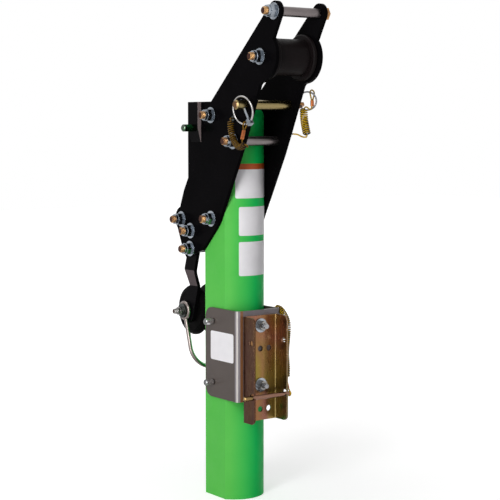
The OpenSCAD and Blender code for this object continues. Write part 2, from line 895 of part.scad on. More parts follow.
// The winch lanyard: a screw on the bracket's right side, curls behind the channel's right flange,
// and an eye in the groove of the winch pin
winch_crimp_l = 11;
winch_eye_r = winch_groove_r + cord_d / 2 + 0.15;
winch_u = [0, -0.4, -0.9165];
winch_w = [0, -0.9165, 0.4];
winch_from = [winch_groove_x, -winch_pin_at[0], winch_pin_at[1]] - 20 * winch_u;
bracket_top = bracket_z + bracket_h;
function winch_at(x, f, z) = [x + bracket_out, -f, bracket_top + z];
winch_curls = 38;
winch_route = [winch_at(6.6, 51, -2.6), winch_at(6.6, 63.3, -5), winch_at(6.5, 74, -13.2), winch_at(5.6, 82.8, -23.5),
    winch_at(3.6, 87, -36), winch_at(2.2, 87.4, -49.5), winch_at(1.4, 86.4, -63), winch_at(0.7, 86.2, -76.5),
    winch_at(0.5, 87.8, -90), winch_at(0.3, 89.6, -103.3), winch_at(-0.5, 89.6, -117)];
winch_anchor_at = [34, bracket_top - 12];
winch_lead = [[bracket_out + 2.55, -winch_anchor_at[0], winch_anchor_at[1]], winch_at(4.6, 34.3, -11.8),
    winch_at(6.2, 38, -9.5), winch_at(6.6, 45, -4.5), winch_route[0]];
winch_tail = [winch_route[10], winch_at(-2, 90.5, -121.5), winch_from + strand_half * winch_w - 2 * winch_u,
    winch_from + strand_half * winch_w];
winch_path = concat(smooth(winch_lead, 3), tail_of(curly(winch_route, winch_curls, curl_r)),
    tail_of(smooth(winch_tail, 3)), tail_of(backwards(eye(winch_from, winch_u, winch_w, winch_crimp_l, 20, winch_eye_r))));

// A path without its first point, and a path the other way round
function tail_of(p) = [for (i = [1 : len(p) - 1]) p[i]];
function backwards(p) = [for (i = [len(p) - 1 : -1 : 0]) p[i]];

echo(cord_gap_left = least_gap(left_path, cord_d));  // lanyard_left
echo(cord_gap_right = least_gap(right_path, cord_d));  // lanyard_right
echo(cord_gap_winch = least_gap(winch_path, cord_d));  // lanyard_winch

module lanyard_left() {
    color("gold")
        cord_tube(left_path, cord_d);
}

module lanyard_right() {
    color("gold")
        cord_tube(right_path, cord_d);
}

module lanyard_winch() {
    color("gold")
        cord_tube(winch_path, cord_d);
}

// A flattened sleeve round two strands
module sleeve_outline(grow) {
    d = cord_d + 2 * grow;
    square([2 * strand_half, d], center = true);
    for (side = [-1, 1])
        translate([side * strand_half, 0])
            circle(d = d, $fn = fn_small);
}

module crimp(from, u, w, l) {
    n = cross(u, w);
    color("peru")
        multmatrix([
            [w[0], n[0], u[0], from[0]],
            [w[1], n[1], u[1], from[1]],
            [w[2], n[2], u[2], from[2]],
            [0, 0, 0, 1]
        ])
            linear_extrude(l)
                difference() {
                    sleeve_outline(crimp_room + crimp_wall);
                    sleeve_outline(crimp_room);
                }
}

module crimp_left() {
    crimp(left_from, unit(left_u), unit(left_w), left_crimp_l);
}

module crimp_right() {
    crimp(right_from, unit(right_u), unit(right_w), right_crimp_l);
}

module crimp_winch() {
    crimp(winch_from, unit(winch_u), unit(winch_w), winch_crimp_l);
}

// Button screws that hold the lanyards' fixed ends
module anchor_left() {
    color("dimgray")
        bar(-plate_out - 2.4, -plate_out, left_anchor_at, 9);
}

module anchor_right() {
    color("dimgray")
        bar(plate_out, plate_out + 2, right_anchor_at, 9);
}

module anchor_winch() {
    color("dimgray")
        bar(bracket_out, bracket_out + 2.5, winch_anchor_at, 9);
}

// The clamp bracket: a U about the mast, open to the rear
module bracket_section() {
    difference() {
        union() {
            translate([-bracket_out, bracket_rear])
                square([2 * bracket_out, bracket_front - bracket_rear - bracket_bend_r]);
            translate([-bracket_out + bracket_bend_r, bracket_rear])
                square([2 * (bracket_out - bracket_bend_r), bracket_front - bracket_rear]);
            for (side = [-1, 1])
                translate([side * (bracket_out - bracket_bend_r), bracket_front - bracket_bend_r])
                    circle(r = bracket_bend_r, $fn = fn_round);
        }
        translate([-bracket_in, bracket_rear - 1])
            square([2 * bracket_in, bracket_front - bracket_rear + 1 - bracket_t]);
    }
}

// A side view with rounded rear corners, or a channel's rounded front corners
module rounded_side(f0, f1, z0, z1, r) {
    translate([min(f0 + r, f1), z0])
        square([abs(f1 - f0 - r), z1 - z0]);
    translate([f0, z0 + r])
        square([r, z1 - z0 - 2 * r]);
    for (z = [z0 + r, z1 - r])
        translate([f0 + r, z])
            circle(r = r, $fn = fn_round);
}

module clamp_bracket() {
    color("dimgray")
        difference() {
            intersection() {
                translate([0, 0, bracket_z])
                    linear_extrude(bracket_h)
                        mirror([0, 1])
                            bracket_section();
                slab(-bracket_out, 2 * bracket_out)
                    rounded_side(bracket_rear, bracket_front, bracket_z, bracket_z + bracket_h, bracket_corner_r);
            }
            for (z = bracket_bolt_z)
                bar(-bracket_out - 1, bracket_out + 1, [0, z], bracket_bolt_d + 2 * fixed_gap);
            for (z = channel_bolt_z)
                front_bar(0, z, bracket_front - 2 * bracket_t, bracket_front + 1, bracket_bolt_d + 2 * fixed_gap);
        }
}

// A round bar that points forward, from f0 to f1 ahead of the mast's axis
module front_bar(x, z, f0, f1, d) {
    translate([x, -f0, z])
        rotate([90, 0, 0])
            cylinder(h = f1 - f0, d = d, $fn = fn_round);
}

module front_hex(x, z, f0, f1, af) {
    translate([x, -f0, z])
        rotate([90, 0, 0])
            rotate([0, 0, 30])
                cylinder(h = f1 - f0, d = af / cos(30), $fn = 6);
}

module bracket_bolts() {
    color("silver")
        for (z = bracket_bolt_z)
            long_bolt(-bracket_out - bracket_cap_l + 2 * bracket_cap_end, bracket_out + bracket_washer_t, [0, z],
                bracket_bolt_d, rear_af, 6, 1.2);
}

module bracket_washers() {
    color("lightsteelblue")
        for (z = bracket_bolt_z)
            pipe(bracket_out, bracket_out + bracket_washer_t, [0, z], 20, bracket_bolt_d + 2 * fixed_gap);
}

// Round cap nuts on the left side, closed at their outer end
module bracket_nuts() {
    color("silver")
        for (z = bracket_bolt_z)
            difference() {
                bevelled_bar(-bracket_out - bracket_cap_l, -bracket_out, [0, z], bracket_cap_d, 1.4);
                bar(-bracket_out - bracket_cap_l + bracket_cap_end, -bracket_out + 1, [0, z],
                    bracket_bolt_d + 2 * fixed_gap);
            }
}

// The winch channel's section: web on the bracket, flanges forward
module channel_section() {
    half = channel_w / 2;
    difference() {
        union() {
            translate([-half, bracket_front + channel_bend_r])
                square([channel_w, channel_depth - channel_bend_r]);
            translate([-half + channel_bend_r, bracket_front])
                square([channel_w - 2 * channel_bend_r, channel_bend_r + 1]);
            for (side = [-1, 1])
                translate([side * (half - channel_bend_r), bracket_front + channel_bend_r])
                    circle(r = channel_bend_r, $fn = fn_round);
        }
        translate([-half + channel_t, bracket_front + channel_bend_r])
            square([channel_w - 2 * channel_t, channel_depth]);
        translate([-half + channel_bend_r, bracket_front + channel_t])
            square([channel_w - 2 * channel_bend_r, channel_depth]);
        for (side = [-1, 1])
            translate([side * (half - channel_bend_r), bracket_front + channel_bend_r])
                circle(r = channel_bend_r - channel_t, $fn = fn_round);
    }
}

module winch_channel() {
    top = channel_z + channel_h;
    color("darkkhaki")
        difference() {
            intersection() {
                translate([0, 0, channel_z])
                    linear_extrude(channel_h)
                        mirror([0, 1])
                            channel_section();
                mirror([0, 1, 0])
                    slab(-channel_w / 2, channel_w)
                        rounded_side(-channel_front, -bracket_front, channel_z, top, channel_corner_r);
            }
            for (z = channel_bolt_z)
                front_bar(0, z, bracket_front - 1, bracket_front + channel_t + 1, bracket_bolt_d + 2 * fixed_gap);
            for (z = channel_hole_z)
                for (x = [-channel_hole_x, 0, channel_hole_x])
                    front_bar(x, z, bracket_front - 1, bracket_front + channel_t + 1, channel_hole_d);
            bar(-channel_w, channel_w, flange_hole_at, flange_hole_d);
            bar(-channel_w, channel_w, winch_pin_at + [0, winch_pin_lift], winch_pin_hole_d);
        }
}

channel_seat = bracket_front + channel_t + channel_washer_t;
channel_tip_f = channel_seat + channel_nut_h + channel_tip;

module channel_bolts() {
    color("silver")
        for (z = channel_bolt_z) {
            front_hex(0, z, bracket_front - bracket_t - 6, bracket_front - bracket_t, rear_af);
            front_bar(0, z, bracket_front - bracket_t, channel_tip_f, bracket_bolt_d);
        }
}

module channel_washers() {
    color("lightsteelblue")
        for (z = channel_bolt_z)
            difference() {
                front_bar(0, z, channel_seat - channel_washer_t, channel_seat, channel_washer_d);
                front_bar(0, z, channel_seat - channel_washer_t - 1, channel_seat + 1, bracket_bolt_d + 2 * fixed_gap);
            }
}

module channel_nuts() {
    color("silver")
        for (z = channel_bolt_z)
            difference() {
                front_hex(0, z, channel_seat, channel_seat + channel_nut_h, rear_af);
                front_bar(0, z, channel_seat - 1, channel_seat + channel_nut_h + 1, bracket_bolt_d + 2 * fixed_gap);
            }
}

module winch_pin() {
    r = winch_pin_d / 2;
    bevel = 1.5;
    groove_half = cord_d / 2 + 0.3;
    color("rosybrown")
        translate([0, -winch_pin_at[0], winch_pin_at[1]])
            rotate([0, 90, 0])
                rotate_extrude($fn = fn_round)
                    polygon([
                        [0, winch_pin_left],
                        [r - bevel, winch_pin_left],
                        [r, winch_pin_left + bevel],
                        [r, winch_groove_x - groove_half],
                        [winch_groove_r, winch_groove_x - groove_half],
                        [winch_groove_r, winch_groove_x + groove_half],
                        [r, winch_groove_x + groove_half],
                        [r, winch_pin_right - bevel],
                        [r - bevel, winch_pin_right],
                        [0, winch_pin_right]
                    ]);
}

// A bare label on the tube, between two heights
module tube_label(z, left_angle) {
    span = label_right_angle - left_angle;
    rotate([0, 0, left_angle - 90])
        translate([0, 0, z[0]])
            rotate_extrude(angle = span, $fn = fn_round)
                translate([mast_r + label_lift, 0])
                    square([label_t, z[1] - z[0]]);
}

module label_band() {
    color("darkorange")
        tube_label(band_z, band_left_angle);
}

module label_upper() {
    color("white")
        tube_label(label_upper_z, label_left_angle);
}

module label_lower() {
    color("white")
        tube_label(label_lower_z, label_left_angle);
}

module label_bracket() {
    low = bracket_z + 65.5;
    high = bracket_z + 115;
    color("white")
        slab(-bracket_out - label_t, label_t)
            translate([-6.5, low])
                square([label_bracket_w, high - low]);
}

mast_tube();
mast_top_plug();
side_plate_left();
side_plate_right();
rear_tab();
tab_stud();
plate_bolts();
plate_washers();
plate_nuts();
top_tie_spacer();
lower_tie_spacer();
rear_guide_spacers();
roller_axle_bolt();
roller_axle_sleeve();
head_roller();
roller_bush_left();
roller_bush_right();
rear_arm_left();
rear_arm_right();
rear_axle_bolt();
rear_axle_sleeve();
rear_axle_collars();
rear_axle_washers();
rear_axle_nut();
rear_roller();
rear_roller_bushes();
wire_bail();
lock_pin();
pull_ring();
linch_pin();
linch_ring();
lanyard_left();
lanyard_right();
lanyard_winch();
crimp_left();
crimp_right();
crimp_winch();
anchor_left();
anchor_right();
anchor_winch();
clamp_bracket();
bracket_bolts();
bracket_washers();
bracket_nuts();
winch_channel();
channel_bolts();
channel_washers();
channel_nuts();
winch_pin();
label_band();
label_upper();
label_lower();
label_bracket();
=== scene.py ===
import bpy, math
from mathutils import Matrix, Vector
from mathutils.kdtree import KDTree


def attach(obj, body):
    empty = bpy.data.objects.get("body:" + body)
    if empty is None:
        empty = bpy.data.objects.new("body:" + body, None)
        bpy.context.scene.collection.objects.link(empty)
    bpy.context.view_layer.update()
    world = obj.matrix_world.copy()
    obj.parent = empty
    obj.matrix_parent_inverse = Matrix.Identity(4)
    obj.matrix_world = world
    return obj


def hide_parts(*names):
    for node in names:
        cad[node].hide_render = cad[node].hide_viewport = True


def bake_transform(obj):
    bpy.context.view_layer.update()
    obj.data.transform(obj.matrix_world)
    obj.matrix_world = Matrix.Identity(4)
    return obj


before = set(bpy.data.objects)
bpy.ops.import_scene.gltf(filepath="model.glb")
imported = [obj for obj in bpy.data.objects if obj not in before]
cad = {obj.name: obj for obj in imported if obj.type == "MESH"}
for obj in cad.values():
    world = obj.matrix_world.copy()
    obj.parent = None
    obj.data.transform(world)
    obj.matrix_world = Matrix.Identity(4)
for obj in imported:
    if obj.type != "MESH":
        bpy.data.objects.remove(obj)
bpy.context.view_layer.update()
MM = 0.001

# Camera at the photograph's angle: a long lens off the mast's front left corner, looking slightly down
bpy.ops.object.select_all(action="DESELECT")
bpy.ops.object.camera_add(
    location=(-1.3987, -1.9707, 0.6344),
    rotation=(math.radians(90 - 4.91), 0, math.radians(-36)),
)
camera = bpy.context.object
camera.name = "camera"
camera.data.lens = 100.85
camera.data.sensor_width = 36
camera.data.clip_end = 40
bpy.context.scene.camera = camera
bpy.context.scene.view_settings.view_transform = "Standard"


# Sizes and places that the pieces share with the source, in millimetres.
# PLATE_OUT and BRACKET_OUT are outer faces, and WINCH_PIN is how far forward and how high its axis is.
MAST_R = 50.8
MAST_H = 674
PLATE_OUT = 47.65
LINCH_X = -53.05
PULL_R = 15.2
PULL_OUT = Vector((0.809, -0.588, 0))
UP = Vector((0, 0, 1))


def pull_way(degrees):
    """From the pull ring's centre to its wire, at an angle above its outward side."""
    return math.cos(math.radians(degrees)) * PULL_OUT + math.sin(math.radians(degrees)) * UP


PULL_CENTRE = Vector((64, -99.5, 675)) + PULL_R * pull_way(30)
BRACKET_OUT = 45.5
WINCH_PIN = (100.6, 186.5)
WINCH_GROOVE_X = 42.5


def at(x, forward, up):
    """A point by its place to the right, in front of the mast's axis and above its foot."""
    return Vector((x, -forward, up))


# Cords: each runs through smooth leads and a curly stretch, and ends in an eye
CORD_D = 2.5
STRAND_HALF = 1.25
CURL_STEPS = 20
CURL_GROWTH = 5 / 8
EYE_STEPS = 20
LEAD_STEPS = 6
COIL_MIDDLE = {}


def curve_point(a, b, c, d, t):
    """A point between b and c on a smooth curve through all four."""
    bend = 2 * a - 5 * b + 4 * c - d
    return 0.5 * (2 * b + (c - a) * t + bend * t * t + (3 * b - a - 3 * c + d) * t ** 3)


def route_point(route, s):
    """The point at s on a smooth route, where whole numbers are its given points."""
    last = len(route) - 1
    i = min(int(math.floor(s)), last - 1)
    return curve_point(route[max(i - 1, 0)], route[i], route[i + 1], route[min(i + 2, last)], s - i)


def smooth(route):
    """The route as short straight steps."""
    return [route_point(route, k / LEAD_STEPS) for k in range(LEAD_STEPS * (len(route) - 1) + 1)]


def heading(route, s):
    """The direction of the route at s."""
    after = route_point(route, min(s + 0.01, len(route) - 1))
    before = route_point(route, max(s - 0.01, 0))
    return (after - before).normalized()


def curly(route, curls, radius):
    """Curls about a route, which grow out of it and shrink back to it; COIL_MIDDLE keeps their middles."""
    total = curls * CURL_STEPS
    growth = CURL_STEPS * CURL_GROWTH
    points = []
    for k in range(total + 1):
        s = k / total * (len(route) - 1)
        along = heading(route, s)
        side = along.cross(Vector((1, 0, 0))).normalized()
        up = side.cross(along)
        grow = min(1, k / growth, (total - k) / growth)
        turn = 2 * math.pi * k / CURL_STEPS
        middle = route_point(route, s)
        point = middle + grow * radius * (math.cos(turn) * up + math.sin(turn) * side)
        point.freeze()
        COIL_MIDDLE[point] = middle
        points.append(point)
    return points


def eye(start, u, w, crimp_l, high, radius):
    """The cord up through a crimp, round an eye and back: u points to the eye and w across the strands."""
    reach = math.hypot(STRAND_HALF, high - crimp_l)
    leg = math.degrees(math.atan2(high - crimp_l, -STRAND_HALF)) - math.degrees(math.asin(radius / reach))
    first = 270 - leg
    last = leg - 90
    points = [start - STRAND_HALF * w + y * u for y in (0, crimp_l / 2, crimp_l)]
    for k in range(EYE_STEPS + 1):
        a = math.radians(first + (last - first) * k / EYE_STEPS)
        points.append(start + radius * math.cos(a) * w + (high + radius * math.sin(a)) * u)
    return points + [start + STRAND_HALF * w + y * u for y in (crimp_l, crimp_l / 2, 0)]


# The left lanyard, from the linch ring down and back to its screw on the left plate
LEFT_X = LINCH_X - 8.2
left_u = Vector((0, -0.35, 0.937))
left_w = Vector((1, 0, 0))
left_from = at(LINCH_X - 1, 97.5, MAST_H - 54.9)


def left_at(forward, up, out=0):
    """A point near the left plate, with its height from the mast's top."""
    return at(LEFT_X + out, forward, MAST_H + up)


left_route = [
    left_at(115.2, -64.1), left_at(104.7, -68.1), left_at(93.8, -65.8), left_at(85.2, -58.3),
    left_at(79.3, -48.1), left_at(75.9, -37.1), left_at(75.5, -25.9),
]
left_lead = [
    left_from + STRAND_HALF * left_w, left_at(98.5, -60, 7.2), left_at(104, -64.5, 8),
    left_at(112, -67.5, 7.4), left_at(118, -67, 4), left_at(118.5, -64.5, 1), left_route[0],
]
left_tail = [
    left_route[-1], left_at(75, -22.3), left_at(71.5, -20.6, 4), left_at(67, -20.8, 8),
    at(-PLATE_OUT - 2.55, 66, MAST_H - 21),
]
left_path = (
    eye(left_from, left_u, left_w, crimp_l=16, high=26, radius=4) + smooth(left_lead)[1:]
    + curly(left_route, curls=19, radius=4.1)[1:] + smooth(left_tail)[1:]
)

# The right lanyard, from the pull ring down and back to its screw on the right plate
right_hook = PULL_CENTRE + PULL_R * pull_way(58)
right_u = Vector((0.099, 0.132, 0.986))
right_w = Vector((-0.9757, -0.1818, 0.1223))
RIGHT_EYE_H = 22
right_from = right_hook - RIGHT_EYE_H * right_u


def right_at(x, forward, up):
    """A point to the right of the right plate's outer face, with its height from the mast's top."""
    return at(x + PLATE_OUT, forward, MAST_H + up)


right_route = [
    right_at(14.4, 113.2, -5.1), right_at(14.4, 113.9, -16.25), right_at(13.95, 116.4, -27.1),
    right_at(13.15, 120.55, -37.4), right_at(12.3, 125.1, -47.6),
]
right_lead = [
    right_from + STRAND_HALF * right_w, right_from + STRAND_HALF * right_w - 3 * right_u,
    right_at(25, 116.5, -5.5), right_at(18.5, 115, -1.6), right_route[0],
]
right_tail = [
    right_route[-1], right_at(10.5, 125.5, -51.8), right_at(8.4, 117, -51.4), right_at(5.9, 107, -47.6),
    right_at(4.7, 96, -46.9), right_at(4.4, 88, -47), right_at(3.4, 84.4, -47), right_at(2.05, 84, -47),
]
right_path = (
    eye(right_from, right_u, right_w, crimp_l=9.5, high=RIGHT_EYE_H, radius=5.4) + smooth(right_lead)[1:]
    + curly(right_route, curls=14, radius=5.7)[1:] + smooth(right_tail)[1:]
)

# The winch lanyard, from its screw on the bracket down to the groove of the winch pin
winch_u = Vector((0, -0.4, -0.9165))
winch_w = Vector((0, -0.9165, 0.4))
WINCH_EYE_H = 20
WINCH_ROUTE_Z = 330
winch_from = at(WINCH_GROOVE_X, *WINCH_PIN) - WINCH_EYE_H * winch_u


def winch_at(x, forward, up):
    """A point to the right of the bracket's outer face, with its height from WINCH_ROUTE_Z."""
    return at(x + BRACKET_OUT, forward, WINCH_ROUTE_Z + up)


winch_route = [
    winch_at(6.6, 51, -2.6), winch_at(6.6, 63.3, -5), winch_at(6.5, 74, -13.2), winch_at(5.6, 82.8, -23.5),
    winch_at(3.6, 87, -36), winch_at(2.2, 87.4, -49.5), winch_at(1.4, 86.4, -63), winch_at(0.7, 86.2, -76.5),
    winch_at(0.5, 87.8, -90), winch_at(0.3, 89.6, -103.3), winch_at(-0.5, 89.6, -117),
]
winch_lead = [
    winch_at(2.55, 34, -12), winch_at(4.6, 34.3, -11.8), winch_at(6.2, 38, -9.5), winch_at(6.6, 45, -4.5),
    winch_route[0],
]
winch_tail = [
    winch_route[-1], winch_at(-2, 90.5, -121.5), winch_from + STRAND_HALF * winch_w - 2 * winch_u,
    winch_from + STRAND_HALF * winch_w,
]
winch_path = (
    smooth(winch_lead) + curly(winch_route, curls=38, radius=5)[1:] + smooth(winch_tail)[1:]
    + eye(winch_from, winch_u, winch_w, crimp_l=11, high=WINCH_EYE_H, radius=4.2)[::-1][1:]
)


def deselect():
    """Nothing selected, in object mode."""
    if bpy.context.object and bpy.context.object.mode != "OBJECT":
        bpy.ops.object.mode_set(mode="OBJECT")
    bpy.ops.object.select_all(action="DESELECT")


def cord_piece(name, points):
    """A round cord along the points, as one closed tube."""
    line = bpy.data.curves.new(name, "CURVE")
    line.dimensions = "3D"
    line.bevel_depth = CORD_D / 2 * MM
    line.bevel_resolution = 3
    line.use_fill_caps = True
    spline = line.splines.new("POLY")
    spline.points.add(len(points) - 1)
    for slot, p in zip(spline.points, points):
        slot.co = (p.x * MM, p.y * MM, p.z * MM, 1)
    piece = bpy.data.objects.new(name, line)
    bpy.context.scene.collection.objects.link(piece)
    deselect()
    piece.select_set(True)
    bpy.context.view_layer.objects.active = piece
    bpy.ops.object.convert(target="MESH")
    piece = bpy.context.object
    bpy.ops.object.mode_set(mode="EDIT")
    bpy.ops.mesh.select_all(action="SELECT")
    bpy.ops.mesh.remove_doubles(threshold=1e-6)
    bpy.ops.mesh.normals_make_consistent(inside=False)
    bpy.ops.object.mode_set(mode="OBJECT")
    bpy.ops.object.shade_smooth()
    shade_inward(piece, points)
    return piece


def shade_inward(piece, points):
    """Keeps how far each part of the cord faces out of its curls, from 0 to 1, for the cord's painted shade.
    """
    lookup = KDTree(len(points))
    for i, p in enumerate(points):
        lookup.insert(p * MM, i)
    lookup.balance()
    outward = piece.data.attributes.new("outward", "FLOAT", "POINT")
    for vert, slot in zip(piece.data.vertices, outward.data):
        point = points[lookup.find(vert.co)[1]]
        slot.value = 0.95
        if point.is_frozen and point in COIL_MIDDLE:
            out = (point - COIL_MIDDLE[point]).normalized()
            slot.value = max(0, min(1, 0.5 + 0.5 * (vert.co / MM - point).normalized().dot(out)))


lanyard_left = cord_piece("curly_lanyard_left", left_path)
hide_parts("lanyard_left")
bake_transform(lanyard_left)
lanyard_right = cord_piece("curly_lanyard_right", right_path)
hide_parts("lanyard_right")
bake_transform(lanyard_right)
lanyard_winch = cord_piece("curly_lanyard_winch", winch_path)
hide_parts("lanyard_winch")
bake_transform(lanyard_winch)


# Materials: SOFT_EDGE is how far the edges of coats and mouldings look rounded, in millimetres
SOFT_EDGE = 0.6


def surface(name, colour, rough, metal=0.0, coat=0.0, coat_rough=0.1, specular=0.5):
    """A new material with its even values set on the shader itself."""
    made = bpy.data.materials.new(name)
    made.use_nodes = True
    shader = shader_of(made)
    shader.inputs["Base Color"].default_value = (*colour, 1)
    shader.inputs["Roughness"].default_value = rough
    shader.inputs["Metallic"].default_value = metal
    shader.inputs["Coat Weight"].default_value = coat
    shader.inputs["Coat Roughness"].default_value = coat_rough
    shader.inputs["Specular IOR Level"].default_value = specular
    return made


def shader_of(made):
    """The material's one shader."""
    return made.node_tree.nodes["Principled BSDF"]


def node(made, kind, **values):
    """A node with its settings and socket values given by name."""
    n = made.node_tree.nodes.new(kind)
    for key, value in values.items():
        if key in n.inputs.keys():
            n.inputs[key].default_value = value
        else:
            setattr(n, key, value)
    return n


def put(made, source, socket):
    """Sets a socket to a number or a colour, or wires a node's output into it."""
    if isinstance(source, tuple):
        socket.default_value = (*source, 1)
    elif isinstance(source, (int, float)):
        socket.default_value = source
    else:
        made.node_tree.links.new(source, socket)


def feed(made, socket, source):
    """Puts a value or a node's output into one of the shader's sockets."""
    put(made, source, shader_of(made).inputs[socket])


def maths(made, operation, *sources):
    """The result of one operation on numbers or nodes' outputs."""
    n = node(made, "ShaderNodeMath", operation=operation)
    for source, socket in zip(sources, n.inputs):
        put(made, source, socket)
    return n.outputs[0]


def object_place(made, stretch=(1, 1, 1)):
    """The surface's place on the object, in metres."""
    where = node(made, "ShaderNodeTexCoord")
    mapping = node(made, "ShaderNodeMapping", Scale=stretch)
    put(made, where.outputs["Object"], mapping.inputs["Vector"])
    return mapping.outputs["Vector"]


def place_on(made, axis):
    """The surface's place along one axis of the object, in metres."""
    where = node(made, "ShaderNodeTexCoord")
    split = node(made, "ShaderNodeSeparateXYZ")
    put(made, where.outputs["Object"], split.inputs[0])
    return split.outputs[axis]


def cloudy(made, place, scale, detail, rough=0.55):
    """Clouds of noise, about 0.3 to 0.7 in value."""
    n = node(made, "ShaderNodeTexNoise", Scale=scale, Detail=detail, Roughness=rough)
    put(made, place, n.inputs["Vector"])
    return n.outputs["Fac"]


def spread(made, value, low, high, to_low, to_high):
    """The value with its range from low to high stretched onto another range."""
    n = node(made, "ShaderNodeMapRange")
    n.inputs["From Min"].default_value = low
    n.inputs["From Max"].default_value = high
    n.inputs["To Min"].default_value = to_low
    n.inputs["To Max"].default_value = to_high
    put(made, value, n.inputs["Value"])
    return n.outputs["Result"]


def patches(made, place, scale, detail, low, high, most=1.0, rough=0.55):
    """Cloudy patches, from 0 up to a share."""
    return spread(made, cloudy(made, place, scale, detail, rough), low, high, 0.0, most)


def ramp(made, value, stops):
    """Colours at places along a value."""
    n = node(made, "ShaderNodeValToRGB")
    bands = n.color_ramp.elements
    while len(bands) < len(stops):
        bands.new(0.5)
    for band, (place, colour) in zip(bands, stops):
        band.position = place
        band.color = (*colour, 1)
    put(made, value, n.inputs["Fac"])
    return n.outputs["Color"]


def blend_colour(made, share, a, b):
    """The first colour where the share is 0 and the second where it is 1."""
    n = node(made, "ShaderNodeMix", data_type="RGBA")
    for source, socket in ((share, n.inputs[0]), (a, n.inputs[6]), (b, n.inputs[7])):
        put(made, source, socket)
    return n.outputs[2]


def by_side(made, axis, edges, colours, half=1):
    """Colours that follow each other along an axis of the object.

    They change at the edges, half the change before and half after, all in millimetres.
    """
    place = place_on(made, axis)
    body = colours[0]
    for edge, colour in zip(edges, colours[1:]):
        share = spread(made, place, (edge - half) * MM, (edge + half) * MM, 0.0, 1.0)
        body = blend_colour(made, share, body, colour)
    return body


def facing(made, way, low, high):
    """0 to 1 where the surface faces one way of the object, by the cosine of the angle to it."""
    shape = node(made, "ShaderNodeTexCoord")
    toward = node(made, "ShaderNodeVectorMath", operation="DOT_PRODUCT")
    put(made, shape.outputs["Normal"], toward.inputs[0])
    toward.inputs[1].default_value = way
    return spread(made, toward.outputs["Value"], low, high, 0.0, 1.0)


def round_edges(made, radius):
    """Normals as if the edges had that radius in millimetres."""
    return node(made, "ShaderNodeBevel", samples=4, Radius=radius * MM).outputs["Normal"]


def edge_share(made, soft):
    """1 on sharp edges and 0 on open faces."""
    shape = node(made, "ShaderNodeNewGeometry")
    n = node(made, "ShaderNodeVectorMath", operation="DOT_PRODUCT")
    put(made, soft, n.inputs[0])
    put(made, shape.outputs["Normal"], n.inputs[1])
    return spread(made, n.outputs["Value"], 0.80, 0.985, 1.0, 0.0)


def relief(made, height, depth, normal=None):
    """Bump of that depth in millimetres."""
    n = node(made, "ShaderNodeBump", Strength=1.0, Distance=depth * MM)
    put(made, height, n.inputs["Height"])
    if normal is not None:
        put(made, normal, n.inputs["Normal"])
    return n.outputs["Normal"]


def grained(made, place, clouds, rough, bumps, depth, normal=None):
    """Cloudy gloss between two roughnesses, and a fine grain; clouds and bumps are a scale and a detail."""
    feed(made, "Roughness", spread(made, cloudy(made, place, *clouds), 0.3, 0.7, *rough))
    feed(made, "Normal", relief(made, cloudy(made, place, *bumps), depth, normal))


def painted(name, colour, dark, worn, rough, wear, specular, painted_sheen=None):
    """Powder coat with cloudy colour, orange peel and worn edges; painted_sheen is a direction and the colour
    of a painted sheen on faces turned that way.
    """
    made = surface(name, colour, rough, specular=specular)
    place = object_place(made)
    soft = round_edges(made, SOFT_EDGE)
    body = blend_colour(made, patches(made, place, 14, 5, 0.35, 0.65), dark, colour)
    # Painted sheen: a lighter colour on faces turned the given way, as where light falls on them.
    if painted_sheen:
        body = blend_colour(made, facing(made, painted_sheen[0], 0.972, 0.988), body, painted_sheen[1])
    chips = patches(made, place, 160, 6, 0.52, 0.66, wear, 0.7)
    edge_wear_and_highlight = maths(made, "MULTIPLY", edge_share(made, soft), chips)
    feed(made, "Base Color", blend_colour(made, edge_wear_and_highlight, body, worn))
    grained(made, place, (60, 4), (rough * 0.8, rough * 1.25), (900, 2), 0.05, soft)
    return made


def bare_metal(name, colour, rough, grain=(1, 1, 1), round_mm=0.4):
    """Metal of one colour with fine scratches along its grain."""
    made = surface(name, colour, rough, metal=1.0)
    soft = round_edges(made, round_mm)
    grained(made, object_place(made, grain), (150, 5), (rough * 0.7, rough * 1.35), (1400, 3), 0.03, soft)
    return made


def plated(name, colours, rough, grain=(1, 1, 1), round_mm=0.4):
    """Plated or bare metal in clouds of two or three tints."""
    made = bare_metal(name, colours[0], rough, grain, round_mm)
    cloud = cloudy(made, object_place(made, grain), 25, 5, 0.6)
    stops = [(0.3 + 0.4 * i / (len(colours) - 1), c) for i, c in enumerate(colours)]
    feed(made, "Base Color", ramp(made, cloud, stops))
    return made


def moulded(name, colour, dark, rough, specular=0.5):
    """Moulded plastic with a fine grain and rubbed places."""
    made = surface(name, colour, rough, specular=specular)
    place = object_place(made)
    feed(made, "Base Color", blend_colour(made, patches(made, place, 30, 5, 0.35, 0.65), dark, colour))
    grained(made, place, (90, 4), (rough * 0.8, rough * 1.3), (1600, 2), 0.03, round_edges(made, SOFT_EDGE))
    return made


def pin_with_ends(name, body, ends, places):
    """A pin, stud or cap nut whose ends, outside two places on X, have tints of their own."""
    grain = (0.15, 1, 1)
    made = bare_metal(name, body, 0.24, grain)
    tint = by_side(made, "X", places, [ends[0], body, ends[1]])
    cloud = patches(made, object_place(made, grain), 25, 5, 0.35, 0.65, 0.45, 0.6)
    feed(made, "Base Color", blend_colour(made, cloud, tint, tuple(0.45 * c for c in body)))
    return made


def threads(made, axis, below, pitch, depth, soft):
    """Screw threads as relief, on the part of the piece below a place on its axis."""
    place = place_on(made, axis)
    wave = maths(made, "SINE", maths(made, "MULTIPLY", place, 2 * math.pi / (pitch * MM)))
    here = maths(made, "LESS_THAN", place, below * MM)
    return relief(made, maths(made, "MULTIPLY", wave, here), depth, soft)


